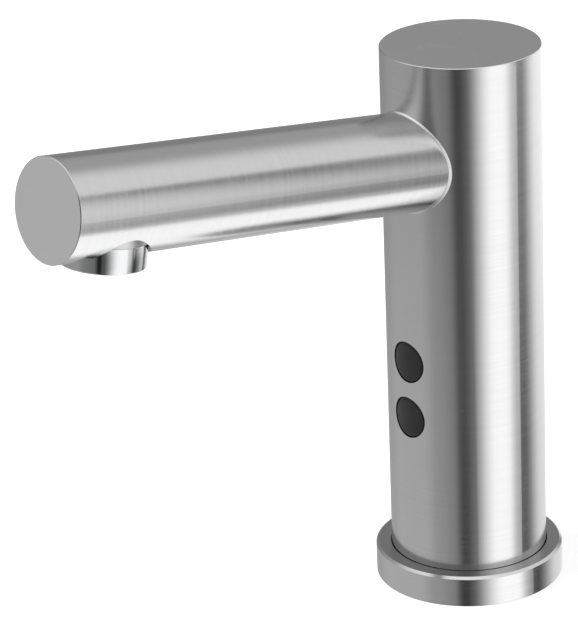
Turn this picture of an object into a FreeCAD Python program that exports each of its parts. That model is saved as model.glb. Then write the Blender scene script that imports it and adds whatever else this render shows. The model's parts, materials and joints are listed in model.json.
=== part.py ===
import FreeCAD, Part
import math
import os
import re
import Sketcher
from FreeCAD import Vector

# Deck-mounted sensor tap, in millimetres and degrees. +Z is up, the spout points to -Y, and the
# origin is the centre of the foot, on the deck. The body is a closed upright tube with the spout
# welded to its front. Inside stand a solenoid valve on a brass base plug, a bent water tube and the
# sensor, which looks out through two round windows.

SIZES = {
    # Body tube and its top
    "body_od": 50.8,
    "body_wall": 1.5,
    "tap_height": 180.5,
    "cap_thickness": 1.5,
    "cap_skirt": 3.0,
    "cap_relief": 1.2,
    "cap_edge": 0.2,
    # Spout tube, its end and its weld
    "spout_od": 31.8,
    "spout_wall": 1.5,
    "spout_drop": 36.8,
    "spout_rise": 8.6,
    "spout_length": 162.8,
    "spout_opening": 22.0,
    "weld_leg": 0.9,
    # Flange ring round the foot
    "flange_width": 4.8,
    "flange_height": 10.2,
    "flange_edge": 0.8,
    "flange_gap": 0.3,
    # Base plug and what is tapped into its underside
    "plug_lip": 4.0,
    "plug_height": 24.0,
    "gasket_radius": 22.4,
    "gasket_width": 2.6,
    "gasket_depth": 1.5,
    "stud_spacing": 32.0,
    "stud_bore": 6.8,
    "stud_depth": 12.0,
    "cable_place": 13.0,
    "cable_hole": 8.0,
    "cable_bore": 4.4,
    "grommet_length": 12.0,
    "grommet_flange": 10.0,
    "grommet_low": 0.5,
    "grommet_rim": 2.0,
    "body_screw_height": 7.0,
    "body_screw_shank": 3.0,
    "body_screw_head": 5.2,
    "body_screw_length": 5.0,
    # Inlet port and check valve, behind the valve's axis
    "port_bore": 9.0,
    "port_depth": 9.0,
    "strainer_thickness": 1.2,
    "strainer_hole": 1.1,
    "strainer_ring": 1.8,
    "cartridge_od": 12.0,
    "cartridge_wall": 1.3,
    "check_throat": 6.0,
    "poppet_radius": 4.0,
    "poppet_lift": 2.0,
    "poppet_stem": 2.0,
    "poppet_rim": 1.4,
    "stem_end": 1.5,
    "web_thickness": 1.2,
    "web_hole": 1.4,
    "check_wire": 0.4,
    "check_coil": 2.5,
    "check_turns": 4,
    # Diaphragm valve
    "valve_corner": 3.0,
    "valve_wall": 1.5,
    "valve_height": 20.0,
    "inlet_boss": 16.4,
    "inlet_oring": 1.2,
    "inlet_boss_height": 8.0,
    "water_way": 6.0,
    "seat_bore": 8.0,
    "seat_rim": 2.0,
    "diaphragm_clamp": 1.2,
    "diaphragm_thickness": 1.2,
    "diaphragm_lift": 1.5,
    "insert_od": 11.0,
    "insert_plate": 1.2,
    "insert_stub": 3.8,
    "nozzle_height": 0.8,
    "pilot_bore": 0.8,
    "bonnet_height": 7.0,
    "valve_screw_edge": 3.2,
    "valve_screw_shank": 3.0,
    "valve_screw_head": 5.5,
    "valve_screw_length": 30.0,
    "valve_screw_seat": 2.0,
    "valve_screw_cap": 3.0,
    # Solenoid
    "plunger_od": 8.0,
    "plunger_length": 18.0,
    "plunger_lift": 2.0,
    "plunger_wire": 0.5,
    "plunger_coil": 2.0,
    "plunger_turns": 5,
    "plunger_well_bore": 5.2,
    "plunger_well_depth": 9.0,
    "plunger_seal_od": 5.0,
    "plunger_seal_thickness": 1.5,
    "armature_wall": 0.8,
    "armature_flange": 14.0,
    "armature_foot": 1.5,
    "core_length": 15.0,
    "coil_od": 22.0,
    "coil_height": 23.0,
    "coil_cheek": 1.2,
    "coil_neck": 1.0,
    "coil_inset": 0.6,
    "yoke_plate": 1.4,
    "yoke_depth": 12.0,
    "coil_nut": 13.0,
    "coil_nut_height": 3.0,
    # Water tube from the valve to the outlet
    "riser_od": 8.0,
    "riser_wall": 1.0,
    "riser_bend": 15.0,
    "riser_boss_wall": 1.6,
    "feed_rise": 2.5,
    # Outlet bush and aerator, on an axis square to the spout
    "outlet_reach": 141.4,
    "outlet_hole": 27.8,
    "bush_od": 27.6,
    "bush_neck": 19.0,
    "bush_seat": 3.4,
    "bush_top": 8.0,
    "aerator_od": 26.0,
    "aerator_drop": 18.3,
    "aerator_collar": 8.0,
    "aerator_thread": 24.0,
    "aerator_mouth": 20.0,
    "aerator_wall": 1.3,
    "washer_thickness": 1.9,
    "screen_thickness": 1.2,
    "screen_cell": 1.9,
    "screen_pitch": 2.47,
    "jet_plate": 1.5,
    "jet_hole": 1.2,
    "jet_ring": 3.0,
    # Sensor
    "eye_hole": 13.8,
    "eye_upper": 80.2,
    "eye_spacing": 19.1,
    "eye_recess": 0.25,
    "eye_gap": 0.25,
    "eye_flange": 16.6,
    "eye_flange_thickness": 1.5,
    "eye_gasket": 0.8,
    "sensor_width": 22.0,
    "sensor_back": 9.5,
    "sensor_margin": 9.6,
    "sensor_rim": 0.9,
    "tunnel_bore": 8.4,
    "board_thickness": 1.6,
    "cover_thickness": 1.5,
    "diode_od": 5.0,
    "diode_length": 8.6,
    "diode_rim": 0.4,
    "diode_dome": 1.9,
    "lug_width": 10.0,
    "lug_length": 8.5,
    "lug_thickness": 3.0,
    "lug_place": 16.5,
    "sensor_stud": 3.0,
    "sensor_stud_end": 3.2,
    "sensor_nut": 5.5,
    "sensor_nut_height": 2.4,
    "board_screw": 2.0,
    "board_screw_head": 3.8,
    "board_screw_cap": 1.2,
    "board_screw_grip": 3.5,
    "board_screw_side": 2.4,
    "board_screw_end": 3.0,
    "lead_od": 1.5,
    "lead_bend": 4.5,
    # Clearances
    "slip": 0.05,
    "running": 0.15,
    "seat_gap": 0.05,
    "oring_section": 1.6,
}

# Sizes that follow from the driving ones.
DERIVED = {
    "body_radius": "body_od / 2",
    "bore_radius": "body_radius - body_wall",
    "tube_top": "tap_height - cap_thickness",
    "spout_height": "tap_height - spout_drop",
    "spout_radius": "spout_od / 2",
    "spout_bore": "spout_radius - spout_wall",
    "spout_end": "spout_length - cap_thickness",
    "flange_bore": "body_radius + flange_gap",
    "flange_radius": "flange_bore + flange_width",
    "flange_groove": "plug_lip / 2",
    "plug_radius": "bore_radius - slip",
    "screw_sink": "(body_screw_head - body_screw_shank) / 2",
    "plug_groove": "plug_height - 3 * oring_section",
    "groove_half": "oring_section * 0.7",
    "valve_x": "-bore_radius / 6",
    "valve_y": "bore_radius / 4.8",
    "valve_width": "bore_radius * 1.071",
    "inlet_step": "bore_radius / 3",
    "inlet_y": "valve_y + inlet_step",
    "chamber_radius": "cartridge_od / 2 + slip",
    "inlet_seal_radius": "chamber_radius + inlet_oring / 2 + 0.25",
    "strainer_top": "port_depth + strainer_thickness",
    "cartridge_low": "strainer_top + seat_gap",
    "cartridge_high": "plug_height - seat_gap",
    "cartridge_bore": "cartridge_od / 2 - cartridge_wall",
    "check_seat": "cartridge_low + 3",
    "poppet_low": "check_seat + seat_gap",
    "poppet_high": "poppet_low + poppet_rim",
    "check_web": "poppet_high + poppet_lift + 3",
    "valve_top": "plug_height + valve_height",
    "annulus_floor": "valve_top - 8",
    "annulus_inner": "seat_bore / 2 + seat_rim",
    "diaphragm_od": "valve_width - 2 * valve_wall",
    "annulus_outer": "diaphragm_od / 2 - diaphragm_clamp",
    "cross_way": "annulus_floor - water_way / 2 - 1.5",
    "membrane_low": "valve_top - diaphragm_thickness",
    "insert_top": "valve_top + seat_gap + insert_plate",
    "nozzle_top": "insert_top + nozzle_height",
    "bonnet_top": "valve_top + bonnet_height",
    "valve_screw_place": "valve_width / 2 - valve_screw_edge",
    "valve_screw_tip": "bonnet_top - valve_screw_seat - valve_screw_length",
    "bonnet_room": "nozzle_top + diaphragm_lift + 0.3 - valve_top",
    "plunger_bore": "plunger_od / 2 + running",
    "plunger_low": "nozzle_top + seat_gap",
    "plunger_high": "plunger_low + plunger_length",
    "plunger_well": "plunger_high - plunger_well_depth",
    "core_low": "plunger_high + plunger_lift + seat_gap",
    "core_high": "core_low + core_length",
    "armature_radius": "plunger_bore + armature_wall",
    "armature_top": "core_high + armature_wall + seat_gap",
    "yoke_low": "bonnet_top + seat_gap",
    "coil_low": "yoke_low + yoke_plate + seat_gap",
    "coil_high": "coil_low + coil_height",
    "yoke_high": "coil_high + seat_gap + yoke_plate",
    "yoke_half": "coil_od / 2 + 0.2 + yoke_plate",
    "nut_low": "yoke_high + seat_gap",
    "riser_x": "bore_radius * 0.69",
    "riser_y": "bore_radius / 4",
    "riser_radius": "riser_od / 2",
    "riser_boss": "riser_od + 2 * riser_boss_wall",
    "riser_low": "cross_way + water_way / 2 + 0.5",
    "collar_top": "-(aerator_drop - aerator_collar)",
    "bush_low": "collar_top + 0.2",
    "washer_high": "-(bush_seat + seat_gap)",
    "washer_low": "washer_high - washer_thickness",
    "housing_top": "washer_low - seat_gap",
    "thread_radius": "aerator_thread / 2 - slip",
    "housing_bore": "thread_radius - aerator_wall",
    "lip_top": "-(aerator_drop - 1)",
    "insert_radius": "housing_bore - 2 * slip",
    "jet_low": "lip_top + seat_gap",
    "jet_lip": "jet_low + 0.5",
    "jet_bore": "insert_radius - 1.2",
    "screen_low": "jet_lip + seat_gap",
    "screen_high": "screen_low + screen_thickness",
    "eye_lower": "eye_upper - eye_spacing",
    "eye_radius": "eye_hole / 2 - eye_gap",
    "eye_face": "body_radius - eye_recess",
    "eye_seat": "bore_radius - eye_gasket - seat_gap",
    "eye_back": "eye_seat - eye_flange_thickness",
    "sensor_front": "eye_back - seat_gap",
    "sensor_low": "eye_lower - sensor_margin",
    "sensor_high": "eye_upper + sensor_margin",
    "board_front": "sensor_back + board_thickness + 2 * seat_gap",
    "cover_front": "sensor_back - seat_gap",
    "cover_back": "cover_front - cover_thickness",
    "lug_low": "sensor_low - lug_length",
    "lug_high": "sensor_high + lug_length",
    "stud_low": "sensor_low - lug_length / 2",
    "stud_high": "sensor_high + lug_length / 2",
    "board_screw_x": "sensor_width / 2 - board_screw_side",
    "board_screw_low": "sensor_low + board_screw_end",
    "board_screw_high": "sensor_high - board_screw_end",
}

# Where each group of pieces has its own origin and axes. On the spout Z runs along the spout and Y
# up; at the outlet Z runs up along the aerator's axis and Y back along the spout. On the sensor Z
# looks out of the windows and Y runs up.
FRAMES = {
    "tap": "",
    "spout": "placement(vector(0; 0; spout_height); rotation(vector(1; 0; 0); 90 - spout_rise))",
    "outlet": "placement(vector(0; -outlet_reach * cos(spout_rise);"
              " spout_height + outlet_reach * sin(spout_rise)); rotation(vector(1; 0; 0); -spout_rise))",
    "valve": "placement(vector(valve_x; valve_y; 0); rotation(vector(0; 0; 1); 0))",
    "valve_corners": "placement(vector(valve_x; valve_y; 0); rotation(vector(0; 0; 1); 45))",
    "inlet": "placement(vector(valve_x; inlet_y; 0); rotation(vector(0; 0; 1); 0))",
    "cable": "placement(vector(0; -cable_place; 0); rotation(vector(0; 0; 1); 0))",
    "sensor": "placement(vector(0; 0; 0); rotation(vector(1; 0; 0); 90))",
}

doc = FreeCAD.newDocument("SensorTap")
sheet = doc.addObject("Spreadsheet::Sheet", "Sizes")
subparts = {}


def fill_sheet():
    """One row for each driving size: its name, and its value under the same name as alias."""
    for row, (name, number) in enumerate(SIZES.items(), start=1):
        sheet.set(f"A{row}", name)
        sheet.set(f"B{row}", str(number))
        sheet.setAlias(f"B{row}", name)
    doc.recompute()


def expand(expression, prefix="Sizes."):
    """Writes an expression out in the sheet's cells."""
    def word(match):
        name = match.group(0)
        if name in DERIVED:
            return "(" + expand(DERIVED[name], prefix) + ")"
        return prefix + name if name in SIZES else name
    return re.sub(r"[a-z][a-z_0-9]*", word, str(expression))


def value(expression):
    return float(sheet.evalExpression(expand(expression, "")))


def register(label, item):
    """Notes an object of the document as the sub-part of this name."""
    item.Label = label
    subparts[label] = item
    return item


class Piece:
    """A sub-part made of sketches and features, all sized by expressions on the sheet."""

    def __init__(self, label, frame="tap", kept=True):
        self.body = doc.addObject("PartDesign::Body", label)
        self.volume = 0.0
        if FRAMES[frame]:
            self.body.setExpression("Placement", expand(FRAMES[frame]))
        if kept:
            register(label, self.body)

    def origin(self, role):
        return [item for item in self.body.Origin.OriginFeatures if item.Role == role][0]

    def sketch(self, plane="XY", level="0", shift=("0", "0"), frame=""):
        """A sketch on an origin plane, lifted along its normal, or in a frame of its own."""
        drawing = self.body.newObject("Sketcher::SketchObject", self.body.Name + "_sketch")
        drawing.AttachmentSupport = [(self.origin(plane + "_Plane"), "")]
        drawing.MapMode = "FlatFace"
        if frame:
            drawing.setExpression("AttachmentOffset", expand(FRAMES[frame]))
            return drawing
        for axis, offset in zip("xyz", (*shift, level)):
            drawing.setExpression("AttachmentOffset.Base." + axis, expand(offset))
        return drawing

    def pin(self, drawing, curve, point, spot):
        """Ties a point of a sketched curve to its place; 0 ties it to the axis."""
        for axis, kind, place in zip((-2, -1), ("DistanceX", "DistanceY"), spot):
            if place == "0":
                drawing.addConstraint(Sketcher.Constraint("PointOnObject", curve, point, axis))
            else:
                rule = Sketcher.Constraint(kind, -1, 1, curve, point, value(place))
                index = drawing.addConstraint(rule)
                drawing.setExpression(f"Constraints[{index}]", expand(place))

    def polygon(self, drawing, points):
        """Adds a closed outline of straight lines."""
        first = drawing.GeometryCount
        corners = [Vector(value(across), value(up), 0) for across, up in points]
        count = len(points)
        for index, corner in enumerate(corners):
            drawing.addGeometry(Part.LineSegment(corner, corners[(index + 1) % count]))
        for index in range(count):
            follower = first + (index + 1) % count
            drawing.addConstraint(Sketcher.Constraint("Coincident", first + index, 2, follower, 1))
        for index, spot in enumerate(points):
            self.pin(drawing, first + index, 1, spot)

    def circle(self, drawing, radius, centre=("0", "0")):
        index = drawing.GeometryCount
        middle = Vector(value(centre[0]), value(centre[1]), 0)
        drawing.addGeometry(Part.Circle(middle, Vector(0, 0, 1), value(radius)))
        rule = drawing.addConstraint(Sketcher.Constraint("Radius", index, value(radius)))
        drawing.setExpression(f"Constraints[{rule}]", expand(radius))
        self.pin(drawing, index, 3, centre)

    def feature(self, kind, profile=None):
        item = self.body.newObject("PartDesign::" + kind, self.body.Name + "_" + kind.lower())
        if profile:
            item.Profile = profile
        return item

    def keep(self, item):
        """Rebuilds the piece and makes sure that the new feature changed it."""
        self.body.Tip = item
        doc.recompute()
        volume = item.Shape.Volume
        if abs(volume - self.volume) < 1e-6:
            raise ValueError(item.Name + " changes nothing")
        self.volume = volume
        return item

    def extrude(self, kind, drawing, length):
        """Pads or cuts a sketch along its normal."""
        item = self.feature(kind, drawing)
        item.setExpression("Length", expand(length))
        if kind == "Pocket":
            item.Reversed = True
        return self.keep(item)

    def level(self, plane, low, high):
        """The lift of a sketch whose extrusion runs from low to high; the XZ plane looks to -Y."""
        return f"-({high})" if plane == "XZ" else low

    def round_feature(self, kind, radius, low, high, centre, plane, inner=None):
        drawing = self.sketch(plane, self.level(plane, low, high))
        self.circle(drawing, radius, centre)
        if inner:
            self.circle(drawing, inner, centre)
        return self.extrude(kind, drawing, f"({high}) - ({low})")

    def disc(self, radius, low, high, centre=("0", "0"), plane="XY", inner=None):
        return self.round_feature("Pad", radius, low, high, centre, plane, inner)

    def hole(self, radius, low, high, centre=("0", "0"), plane="XY", inner=None):
        return self.round_feature("Pocket", radius, low, high, centre, plane, inner)

    def box_feature(self, kind, across, up, low, high, plane):
        drawing = self.sketch(plane, self.level(plane, low, high))
        left, right = across
        bottom, top = up
        self.polygon(drawing, [(left, bottom), (right, bottom), (right, top), (left, top)])
        return self.extrude(kind, drawing, f"({high}) - ({low})")

    def block(self, across, up, low, high, plane="XY"):
        return self.box_feature("Pad", across, up, low, high, plane)

    def slot(self, across, up, low, high, plane="XY"):
        return self.box_feature("Pocket", across, up, low, high, plane)

    def revolve(self, kind, points, axis, shift, plane, level):
        drawing = self.sketch(plane, level, shift)
        self.polygon(drawing, points)
        item = self.feature(kind, drawing)
        item.ReferenceAxis = (drawing, [axis])
        item.Angle = 360
        return self.keep(item)

    def turn(self, points, axis="V_Axis", shift=("0", "0"), plane="XZ", level="0"):
        """Turns a closed outline round the sketch's own upright or level axis."""
        return self.revolve("Revolution", points, axis, shift, plane, level)

    def groove(self, points, axis="V_Axis", shift=("0", "0"), plane="XZ", level="0"):
        return self.revolve("Groove", points, axis, shift, plane, level)

    def square_section(self, radius, height, half):
        """The four corners of a square wire or ring, seen in the plane of its axis."""
        inner, outer = f"({radius}) - ({half})", f"({radius}) + ({half})"
        low, high = f"({height}) - ({half})", f"({height}) + ({half})"
        return [(inner, low), (outer, low), (outer, high), (inner, high)]

    def seal_ring(self, ring, half, height):
        """A lathe-cut seal: a square section turned about Z."""
        return self.turn(self.square_section(ring, height, half))

    def hexagon(self, kind, width, low, high, centre=("0", "0"), plane="XY"):
        """A six-sided pad or pocket, measured across its flats."""
        x, y = centre
        drawing = self.sketch(plane, self.level(plane, low, high))
        tip = f"({width}) / 2 / cos(30)"
        half = f"({width}) / 4 / cos(30)"
        flat = f"({width}) / 2"
        self.polygon(drawing, [(f"{x} + {tip}", y), (f"{x} + {half}", f"{y} + {flat}"),
                               (f"{x} - {half}", f"{y} + {flat}"), (f"{x} - {tip}", y),
                               (f"{x} - {half}", f"{y} - {flat}"), (f"{x} + {half}", f"{y} - {flat}")])
        return self.extrude(kind, drawing, f"({high}) - ({low})")

    def coil(self, ring, wire, low, high, turns):
        """A compression spring: a square wire wound between two heights."""
        drawing = self.sketch("XZ")
        self.polygon(drawing, self.square_section(ring, f"({low}) + ({wire})", wire))
        item = self.feature("AdditiveHelix", drawing)
        item.ReferenceAxis = (drawing, ["V_Axis"])
        item.Mode = "height-turns-angle"
        item.setExpression("Height", expand(f"({high}) - ({low}) - 2 * ({wire})"))
        item.setExpression("Turns", expand(turns))
        return self.keep(item)

    def around(self, originals, count):
        """Repeats features evenly about the piece's Z axis."""
        pattern = self.feature("PolarPattern")
        pattern.Originals = originals
        pattern.Axis = (self.origin("Z_Axis"), [""])
        pattern.Angle = 360
        pattern.Occurrences = count
        return self.keep(pattern)

    def edges(self, test):
        return [f"Edge{i}" for i, edge in enumerate(self.body.Tip.Shape.Edges, start=1) if test(edge)]

    def dress(self, kind, size, test):
        """Fillets or chamfers the edges that pass a test."""
        base = (self.body.Tip, self.edges(test))
        item = self.feature(kind)
        item.Base = base
        item.setExpression("Radius" if kind == "Fillet" else "Size", expand(size))
        return self.keep(item)


def upright(edge):
    """A straight edge that runs along Z."""
    if not isinstance(edge.Curve, Part.Line):
        return False
    return abs(edge.tangentAt(edge.FirstParameter).z) > 0.999


# Shell -------------------------------------------------------------------------------------------

def body_tube():
    """The upright tube: two eye holes, the way into the spout and three countersunk screw holes."""
    piece = Piece("body_tube")
    piece.turn([("bore_radius", "plug_lip"), ("body_radius", "plug_lip"),
                ("body_radius", "tube_top"), ("bore_radius", "tube_top")])
    shank = "body_screw_shank / 2 + running"
    sink = piece.groove([("body_radius + 1", "0"), ("body_radius + 1", f"{shank} + screw_sink + 1"),
                         ("body_radius - screw_sink", shank), ("bore_radius - 1", shank),
                         ("bore_radius - 1", "0")], "H_Axis", ("0", "body_screw_height"), "YZ")
    piece.around([sink], 3)
    for eye in ("eye_upper", "eye_lower"):
        piece.hole("eye_hole / 2", "-body_od", "0", ("0", eye), "XZ")
    opening = piece.sketch(frame="spout")
    piece.circle(opening, "spout_opening / 2")
    piece.extrude("Pocket", opening, "body_od")


def top_cap():
    piece = Piece("top_cap")
    skirt = "plug_radius - cap_relief"
    piece.turn([("0", "tube_top"), (skirt, "tube_top"), (skirt, "tube_top - cap_skirt"),
                ("plug_radius", "tube_top - cap_skirt"), ("plug_radius", "tube_top"),
                ("body_radius", "tube_top"), ("body_radius", "tap_height - cap_edge"),
                ("body_radius - cap_edge", "tap_height"), ("0", "tap_height")])


def spout_end_cap():
    piece = Piece("spout_end_cap", "spout")
    plug = "spout_bore - slip"
    piece.turn([("0", "spout_end"), (f"{plug} - cap_relief", "spout_end"),
                (f"{plug} - cap_relief", "spout_end - cap_skirt"), (plug, "spout_end - cap_skirt"),
                (plug, "spout_end"), ("spout_radius", "spout_end"),
                ("spout_radius", "spout_length - cap_edge"),
                ("spout_radius - cap_edge", "spout_length"), ("0", "spout_length")])


def envelope(name, radius, length, frame):
    """The plain outer cylinder of a tube, which shapes what meets it."""
    solid = doc.addObject("Part::Cylinder", name)
    solid.setExpression("Radius", expand(radius))
    solid.setExpression("Height", expand(length))
    if FRAMES[frame]:
        solid.setExpression("Placement", expand(FRAMES[frame]))
    return solid


def difference(name, base, tool):
    item = doc.addObject("Part::Cut", name)
    item.Base = base
    item.Tool = tool
    doc.recompute()
    return item


def spout_tube(body_envelope):
    """The spout, coped to sit on the body's curve, with the outlet hole in its underside."""
    blank = Piece("spout_blank", "spout", kept=False)
    blank.disc("spout_radius", "0", "spout_end", inner="spout_bore")
    blank.hole("outlet_hole / 2", "-spout_radius - 1", "0", ("0", "outlet_reach"), "XZ")
    register("spout_tube", difference("spout_tube", blank.body, body_envelope))


def weld_bead(body_envelope):
    """The fillet weld round the saddle where the spout meets the body."""
    blank = Piece("weld_blank", kept=False)
    blank.disc("body_radius", "0", "tube_top")
    crossing = blank.sketch(frame="spout")
    blank.circle(crossing, "spout_radius")
    blank.extrude("Pad", crossing, "body_od")
    blank.dress("Chamfer", "weld_leg", lambda edge: isinstance(edge.Curve, Part.BSplineCurve))
    ring = difference("weld_ring", blank.body, body_envelope)
    spout_envelope = envelope("spout_envelope", "spout_radius", "body_od", "spout")
    register("weld_bead", difference("weld_bead", ring, spout_envelope))


def seal_groove(piece, mouth, floor, height):
    low, high = f"{height} - groove_half", f"{height} + groove_half"
    piece.groove([(floor, low), (mouth, low), (mouth, high), (floor, high)])


def flange_ring():
    piece = Piece("flange_ring")
    piece.turn([("flange_bore", "0"), ("flange_radius", "0"),
                ("flange_radius", "flange_height - flange_edge"),
                ("flange_radius - flange_edge", "flange_height"), ("flange_bore", "flange_height")])
    seal_groove(piece, "body_radius", "body_radius + oring_section + 2 * slip", "flange_groove")


def flange_oring():
    Piece("flange_oring").seal_ring("body_radius + oring_section / 2 + slip", "oring_section / 2",
                                    "flange_groove")


# Foot --------------------------------------------------------------------------------------------

def base_plug():
    """The turned brass base: studs, cable and inlet from below, valve on top, tube round it."""
    piece = Piece("base_plug")
    piece.turn([("0", "0"), ("body_radius", "0"), ("body_radius", "plug_lip"),
                ("plug_radius", "plug_lip"), ("plug_radius", "plug_height"), ("0", "plug_height")])
    seal_groove(piece, "body_radius", "bore_radius - oring_section - 2 * slip", "plug_groove")
    piece.hole("gasket_radius + gasket_width / 2", "0", "gasket_depth",
               inner="gasket_radius - gasket_width / 2")
    inlet = ("valve_x", "inlet_y")
    piece.hole("port_bore / 2", "0", "port_depth", inlet)
    piece.hole("chamber_radius", "port_depth", "plug_height", inlet)
    for side in ("stud_spacing / 2", "-stud_spacing / 2"):
        piece.hole("stud_bore / 2", "0", "stud_depth", (side, "0"))
    cable = ("0", "-cable_place")
    piece.hole("cable_hole / 2", "0", "plug_height", cable)
    piece.hole("grommet_flange / 2 + slip", "0", "grommet_low + grommet_rim + slip", cable)
    thread = "body_screw_shank / 2 + slip"
    tip = "body_radius - body_screw_length - 1"
    tapped = piece.groove([(tip, "0"), ("body_radius", "0"), ("body_radius", thread), (tip, thread)],
                          "H_Axis", ("0", "body_screw_height"), "YZ")
    piece.around([tapped], 3)
    low = "valve_screw_tip - 1"
    for x in ("valve_x + valve_screw_place", "valve_x - valve_screw_place"):
        for y in ("valve_y + valve_screw_place", "valve_y - valve_screw_place"):
            piece.hole("valve_screw_shank / 2 + slip", low, "plug_height", (x, y))


def plug_oring():
    Piece("plug_oring").seal_ring("bore_radius - oring_section / 2 - slip", "oring_section / 2",
                                  "plug_groove")


def foot_gasket():
    piece = Piece("foot_gasket")
    piece.disc("gasket_radius + gasket_width / 2 - slip", "0", "gasket_depth - slip",
               inner="gasket_radius - gasket_width / 2 + slip")


def body_screws():
    """Three countersunk screws, level, which hold the tube on the base plug behind the flange."""
    piece = Piece("body_screws")
    tip = "body_radius - body_screw_length"
    face = "body_radius - slip"
    screw = piece.turn([(tip, "0"), (face, "0"), (face, "body_screw_head / 2"),
                        (f"{face} - screw_sink", "body_screw_shank / 2"),
                        (tip, "body_screw_shank / 2")], "H_Axis", ("0", "body_screw_height"), "YZ")
    piece.around([screw], 3)


def cable_grommet():
    piece = Piece("cable_grommet", "cable")
    sleeve = "cable_hole / 2 - slip"
    rim = "grommet_low + grommet_rim"
    piece.turn([("cable_bore / 2", "grommet_low"), ("grommet_flange / 2", "grommet_low"),
                ("grommet_flange / 2", rim), (sleeve, rim), (sleeve, "grommet_length"),
                ("cable_bore / 2", "grommet_length")])


# Inlet -------------------------------------------------------------------------------------------

def inlet_strainer():
    piece = Piece("inlet_strainer", "inlet")
    piece.disc("cartridge_od / 2", "port_depth + seat_gap", "strainer_top")
    for ring, count in (("strainer_ring", 6), ("2 * strainer_ring", 12)):
        mesh = piece.hexagon("Pocket", "strainer_hole", "port_depth", "strainer_top + 1", (ring, "0"))
        piece.around([mesh], count)


def check_valve_body():
    """The check valve's cartridge: a cone seat below, a guide web with water holes above."""
    piece = Piece("check_valve_body", "inlet")
    outer = "cartridge_od / 2"
    guide = "poppet_stem / 2 + running"
    throat = "check_throat / 2"
    web_top = "check_web + web_thickness"
    piece.turn([(throat, "cartridge_low"), (outer, "cartridge_low"), (outer, "cartridge_high"),
                ("cartridge_bore", "cartridge_high"), ("cartridge_bore", web_top),
                (guide, web_top), (guide, "check_web"), ("cartridge_bore", "check_web"),
                ("cartridge_bore", f"check_seat + cartridge_bore - {throat}"),
                (throat, "check_seat")])
    water = piece.hole("web_hole / 2", "check_web", web_top,
                       ("(cartridge_bore + check_coil) / 2", "0"))
    piece.around([water], 6)


def check_poppet():
    piece = Piece("check_poppet", "inlet")
    nose = "check_throat / 2 - 0.1"
    stem = "poppet_stem / 2"
    end = "check_web + web_thickness + stem_end"
    piece.turn([("0", "poppet_low"), (nose, "poppet_low"),
                ("poppet_radius", f"poppet_low + poppet_radius - ({nose})"),
                ("poppet_radius", "poppet_high"), (stem, "poppet_high"),
                (stem, end), ("0", end)])


def check_spring():
    piece = Piece("check_spring", "inlet")
    piece.coil("check_coil", "check_wire / 2", "poppet_high + seat_gap", "check_web - seat_gap",
               "check_turns")


def inlet_seal():
    piece = Piece("inlet_seal", "inlet")
    piece.seal_ring("inlet_seal_radius", "inlet_oring / 2", "plug_height + inlet_oring / 2 + slip")


# Diaphragm valve ---------------------------------------------------------------------------------

def square_block(piece, low, high):
    """The valve's rounded square section."""
    half = "valve_width / 2"
    piece.block(("-" + half, half), ("-" + half, half), low, high)
    piece.dress("Fillet", "valve_corner", upright)


def screw_holes(piece, radius, low, high):
    for x in ("valve_screw_place", "-valve_screw_place"):
        for y in ("valve_screw_place", "-valve_screw_place"):
            piece.hole(radius, low, high, (x, y))


def valve_body():
    """Water enters the ring channel, passes over the seat and leaves by the cross way."""
    piece = Piece("valve_body", "valve")
    square_block(piece, "plug_height", "valve_top")
    inlet = ("0", "inlet_step")
    piece.disc("inlet_boss / 2", "plug_height", "plug_height + inlet_boss_height", inlet)
    riser = ("riser_x - valve_x", "riser_y - valve_y")
    half = "riser_boss / 2 - 0.8"
    piece.block(("0", riser[0]), (f"{riser[1]} - ({half})", f"{riser[1]} + {half}"),
                "plug_height", "valve_top")
    piece.disc("riser_boss / 2", "plug_height", "valve_top", riser)
    piece.hole("water_way / 2", "plug_height", "annulus_floor", inlet)
    piece.hole("annulus_outer", "annulus_floor", "valve_top", inner="annulus_inner")
    sump = "cross_way - water_way / 2 - 1"
    piece.hole("seat_bore / 2", sump, "valve_top")
    piece.hole("water_way / 2", "0", riser[0], ("(riser_y - valve_y) / 2", "cross_way"), "YZ")
    piece.hole("riser_radius + slip", sump, "valve_top", riser)
    piece.hole("diaphragm_od / 2 + slip", "membrane_low", "valve_top")
    piece.hole("inlet_seal_radius + inlet_oring / 2 + slip", "plug_height",
               "plug_height + inlet_oring + 2 * slip", inlet,
               inner="inlet_seal_radius - inlet_oring / 2 - slip")
    screw_holes(piece, "valve_screw_shank / 2 + running", "plug_height", "valve_top")


def diaphragm():
    """A moulded rubber disc: clamped rim, thin flexing ring and a plate that closes on the seat."""
    piece = Piece("diaphragm", "valve")
    low = "membrane_low + slip"
    top = "valve_top - slip"
    piece.turn([("insert_stub / 2 + running", low), ("annulus_inner + 0.4", low),
                ("annulus_inner + 0.8", f"{low} + 0.35"), ("annulus_outer - 0.5", f"{low} + 0.35"),
                ("annulus_outer", low), ("diaphragm_od / 2", low), ("diaphragm_od / 2", top),
                ("annulus_outer", top), ("annulus_outer - 0.5", f"{top} - 0.25"),
                ("annulus_inner + 0.8", f"{top} - 0.25"), ("annulus_inner + 0.4", top),
                ("insert_stub / 2 + running", top)])


def diaphragm_insert():
    piece = Piece("diaphragm_insert", "valve")
    stub = "insert_stub / 2"
    pilot = "pilot_bore / 2"
    piece.turn([(pilot, "membrane_low - 2.5"), (stub, "membrane_low - 2.5"),
                (stub, "valve_top + seat_gap"), ("insert_od / 2", "valve_top + seat_gap"),
                ("insert_od / 2", "insert_top"), (f"{pilot} + 1", "insert_top"),
                (f"{pilot} + 0.4", "nozzle_top"), (pilot, "nozzle_top")])


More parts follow.
